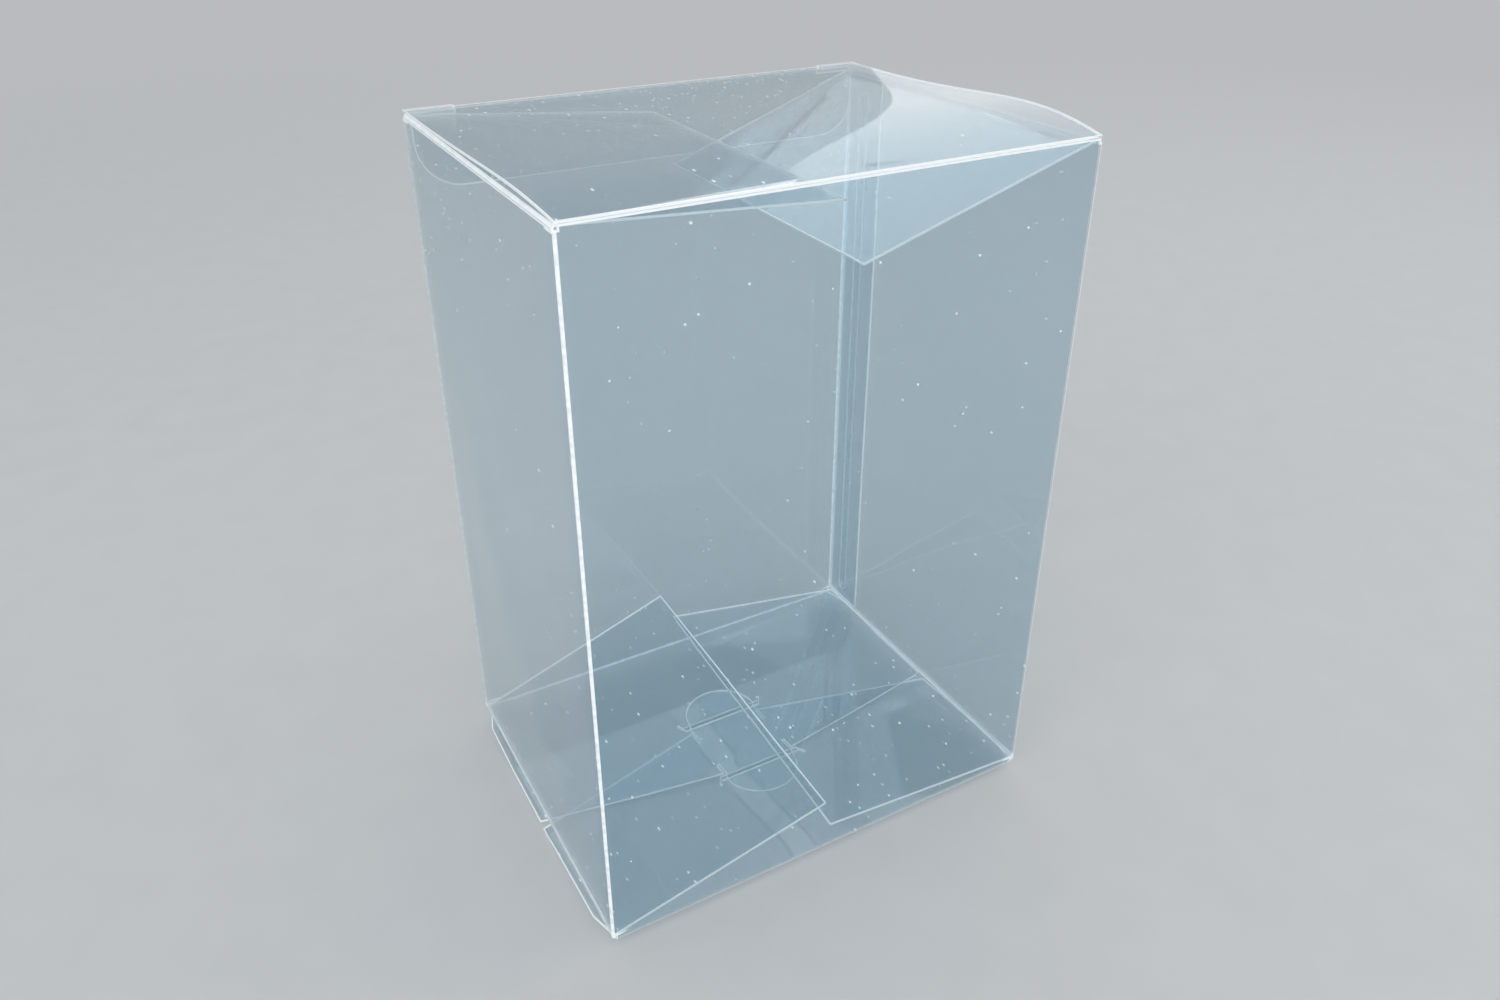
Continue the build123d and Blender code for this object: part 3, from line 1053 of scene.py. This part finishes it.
# %% Film and glue
def clear_film(name, tint, haze_and_reflection_colour, haze, line_strength):
    """Clear film or glue: haze tinted as painted reflection, marks, whitened creases, painted cut-edge
    glint.
    """
    material, place = new_material(name)
    clouds = noise(place, CLOUD_SCALE)
    dashes = {"Vector": stretched(place, DASHES), "Scale": 1.0}
    cells = place.node("ShaderNodeTexVoronoi", {"feature": "F1"}, dashes)
    crease = on_points(place, "crease").ramp(*CREASE_RISE) * (0.8 + cells.ramp(0.2, 0.8) * 0.2)
    # Painted glint: points on a cut turn opaque white in a narrow band.
    edge = on_points(place, "cut_edge").ramp(*EDGE_RISE)
    mask = (crease.either(edge) * line_strength).either(handling_marks(place, clouds, cells))
    opacity = mask.either(clouds * (haze * 0.8) + haze * 0.6)
    # The haze colour is a painted reflection of the surroundings; the white covers creases, marks and the
    # painted cut-edge glint.
    tones = {"Factor": mask.ramp(0.05, 0.3), "A": haze_and_reflection_colour, "B": WHITENED_AND_GLINT}
    colour = place.node("ShaderNodeMix", {"data_type": "RGBA"}, tones)
    dull = {"Base Color": colour, "Roughness": 0.45, "IOR": 1.3}
    sheet = place.node("ShaderNodeBsdfPrincipled", {}, dull)
    clear = place.node("ShaderNodeBsdfTransparent", {}, {"Color": tint})
    through = place.node("ShaderNodeMixShader", {}, {0: opacity, 1: clear, 2: sheet})
    facing = place.node("ShaderNodeLayerWeight", {}, {"Blend": 0.5}).output("Facing")
    slant = facing**5.0 * (1 - GLOSS_AT_FACE) + GLOSS_AT_FACE
    gloss = place.node("ShaderNodeBsdfAnisotropic", {}, {"Color": (1, 1, 1, 1), "Roughness": 0.04})
    seen = place.node("ShaderNodeMixShader", {}, {0: slant, 1: through, 2: gloss})
    lamp_ray = place.node("ShaderNodeLightPath").output("Is Shadow Ray")
    for_lamps = place.node("ShaderNodeBsdfTransparent", {}, {"Color": LET_THROUGH})
    show(material, place.node("ShaderNodeMixShader", {}, {0: lamp_ray, 1: seen, 2: for_lamps}))
    return material


film = clear_film("clear_film", FILM_TINT, HAZE_AND_REFLECTION_COLOUR, haze=0.045, line_strength=0.97)
glue = clear_film("clear_glue", GLUE_TINT, GLUE_COLOUR, haze=0.05, line_strength=1.0)
for piece in (carton, lid):
    piece.data.materials.append(film)
bead.data.materials.append(glue)
print("film has", len(film.node_tree.nodes), "nodes, glue has", len(glue.node_tree.nodes))

# %% [markdown]
# ## Table, lamps and sky
#
# Clear film shows mostly what is behind and around it, so the table is plain and pale, and a touch
# darker than white: white creases then stand out on it. Large soft lamps give broad, calm
# reflections in the film.
#
# A table with an end would draw a dark horizon through the film. So, away from the box, the table
# turns into the plain colour of the sky, for the camera and for reflections only, and the lamps
# and shadows stay as they are.

# %% Plain surroundings
SURROUNDINGS = (0.485, 0.5, 0.515, 1.0)
TABLE_DARK = (0.515, 0.525, 0.535, 1.0)
TABLE_LIGHT = (0.555, 0.565, 0.575, 1.0)
PLAIN_FROM, PLAIN_BY = 0.35, 1.3


def seen_directly(wire):
    """One for rays that show the surroundings: from the camera, in gloss or through glass."""
    path = wire.node("ShaderNodeLightPath")
    found = path.output("Is Camera Ray")
    for name in ("Is Glossy Ray", "Is Transmission Ray"):
        found = found.either(path.output(name))
    return found


table_material, table_place = new_material("pale_table")
fine = {"Factor": noise(table_place, 60.0, detail=4.0), "A": TABLE_DARK, "B": TABLE_LIGHT}
table_colour = table_place.node("ShaderNodeMix", {"data_type": "RGBA"}, fine)
top = table_place.node("ShaderNodeBsdfPrincipled", {}, {"Base Color": table_colour, "Roughness": 0.6})
plain = table_place.node("ShaderNodeEmission", {}, {"Color": SURROUNDINGS, "Strength": 1.0})
away = table_place.node("ShaderNodeVectorMath", {"operation": "LENGTH"}, {0: table_place})
faded = away.ramp(PLAIN_FROM, PLAIN_BY) * seen_directly(table_place)
show(table_material, table_place.node("ShaderNodeMixShader", {}, {0: faded, 1: top, 2: plain}))

TABLE_HALF = 6.0
TABLE_LEVEL = -0.00005
table_mesh = bpy.data.meshes.new("table_top")
signs = [(-1, -1), (1, -1), (1, 1), (-1, 1)]
corners = [(x * TABLE_HALF, y * TABLE_HALF, TABLE_LEVEL) for x, y in signs]
table_mesh.from_pydata(corners, [], [(0, 1, 2, 3)])
table_mesh.materials.append(table_material)
table_top = bpy.data.objects.new("table_top", table_mesh)
scene.collection.objects.link(table_top)
print("the table is", 2 * TABLE_HALF, "m wide and turns plain within", PLAIN_BY, "m")

# %% Lamps and sky
def soft_lamp(name, place, target, size, power, colour=(1, 1, 1)):
    """Square soft lamp that shines from a place towards a target."""
    light = bpy.data.lights.new(name, "AREA")
    light.shape = "RECTANGLE"
    light.size, light.size_y = size
    light.energy = power
    light.color = colour
    lamp = bpy.data.objects.new(name, light)
    aim = (Vector(target) - Vector(place)).to_track_quat("-Z", "Y")
    lamp.matrix_world = Matrix.Translation(place) @ aim.to_matrix().to_4x4()
    scene.collection.objects.link(lamp)
    print(name, power, "W")


MIDDLE = (0, 0, 0.08)
soft_lamp("window", (-1.8, -1.0, 1.5), MIDDLE, (1.8, 1.2), 30.0, (0.97, 0.99, 1.0))
soft_lamp("side_panel", (1.9, -0.6, 0.9), MIDDLE, (0.9, 1.5), 16.0, (1.0, 0.98, 0.95))
soft_lamp("high_back_panel", (0.68, 1.9, 1.6), MIDDLE, (1.2, 0.7), 5.0)
soft_lamp("right_back_panel", (2.0, 1.4, 0.95), MIDDLE, (1.8, 1.2), 3.0)
soft_lamp("low_panel", (-0.5, -2.2, 1.0), MIDDLE, (2.2, 0.8), 14.0)

SKY_COLOUR = (0.80, 0.83, 0.86, 1.0)
world = bpy.data.worlds.new("sky")
world.use_nodes = True
nodes = world.node_tree.nodes
nodes.clear()
sky = Wire(nodes.new("ShaderNodeTexCoord").outputs["Generated"])
light = sky.node("ShaderNodeBackground", {}, {"Color": SKY_COLOUR, "Strength": 0.6})
plain = sky.node("ShaderNodeBackground", {}, {"Color": SURROUNDINGS, "Strength": 1.0})
both = sky.node("ShaderNodeMixShader", {}, {0: seen_directly(sky), 1: light, 2: plain})
world.node_tree.links.new(both.socket, nodes.new("ShaderNodeOutputWorld").inputs["Surface"])
scene.world = world

# %% [markdown]
# ## Layers of clear film
#
# A ray through the box meets up to a dozen film surfaces. Blender stops after eight transparent
# ones and shows black, so the limit is raised. Light that glints off one flap onto another is left
# out, because it only adds grain.

# %% Light paths
FILM_LAYERS = 32
scene.cycles.transparent_max_bounces = FILM_LAYERS
scene.cycles.caustics_reflective = False
print("transparent surfaces allowed:", FILM_LAYERS)
